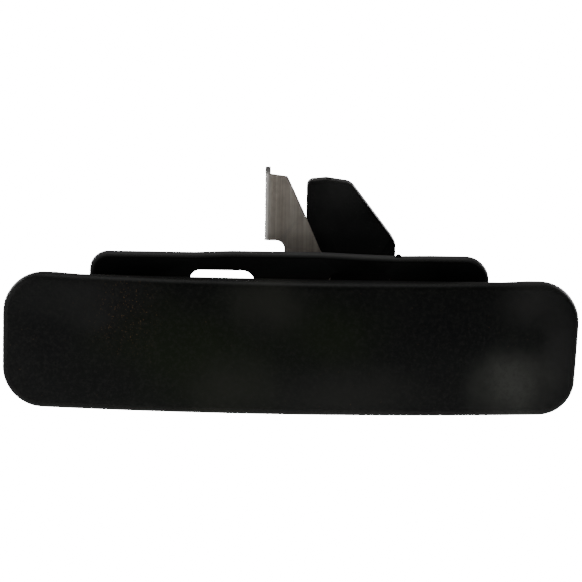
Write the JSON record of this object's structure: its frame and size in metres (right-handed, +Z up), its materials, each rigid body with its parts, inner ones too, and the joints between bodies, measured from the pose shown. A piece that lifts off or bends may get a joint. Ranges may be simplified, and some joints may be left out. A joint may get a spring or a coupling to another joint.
{
  "type": "car door handle",
  "caption": "Exterior pull-flap door handle: a curved flap hinged along its top on a base plate, with a sheet-steel release lever and a counterweight behind it.",
  "frame": {"origin": "midpoint between the two fixing studs, on the plane of the door skin", "axes": "+X along the handle to the viewer's right, +Y into the door, +Z up"},
  "size_m": [0.2142, 0.06, 0.0879],
  "materials": {
    "flap_plastic": "satin moulded black",
    "carrier_nylon": "dull black, glass filled",
    "base_plastic": "semi-matt black moulding",
    "gasket_foam": "dense black foam sheet",
    "rubber": "matt black",
    "acetal": "natural white, smooth",
    "spring_steel": "oiled dark wire and strip",
    "plated_hardware": "bright zinc plating",
    "galvanised_sheet": "dull galvanised sheet with rolled streaks",
    "coated_casting": "black e-coat, slightly glossy"
  },
  "bodies": {
    "base": {"base_housing": "base_plastic", "base_gasket": "gasket_foam", "stud_left": "plated_hardware", "stud_right": "plated_hardware", "bumper_left": "rubber", "bumper_right": "rubber", "open_stop_pads": "rubber", "pivot_pin": "plated_hardware", "pin_ring_left": "spring_steel", "pin_ring_right": "spring_steel", "thrust_washers": "acetal", "spring_sleeve": "acetal", "return_spring": "spring_steel"},
    "flap": {"flap_cover": "flap_plastic", "flap_carrier": "carrier_nylon", "hinge_bush_left": "acetal", "hinge_bush_right": "acetal", "carrier_screws": "plated_hardware", "release_lever": "galvanised_sheet", "counterweight": "coated_casting", "lock_washers": "spring_steel", "counterweight_screws": "plated_hardware"}
  },
  "joints": [
    {"name": "flap_hinge", "type": "hinge", "parent": "base", "child": "flap", "pos_m": [0, 0.005, 0.0025], "axis": [-1, 0, 0], "range_deg": [0, 30], "stiffness_Nm_per_rad": 0.38, "springref_deg": -37.82, "deforming": ["return_spring"]}
  ]
}
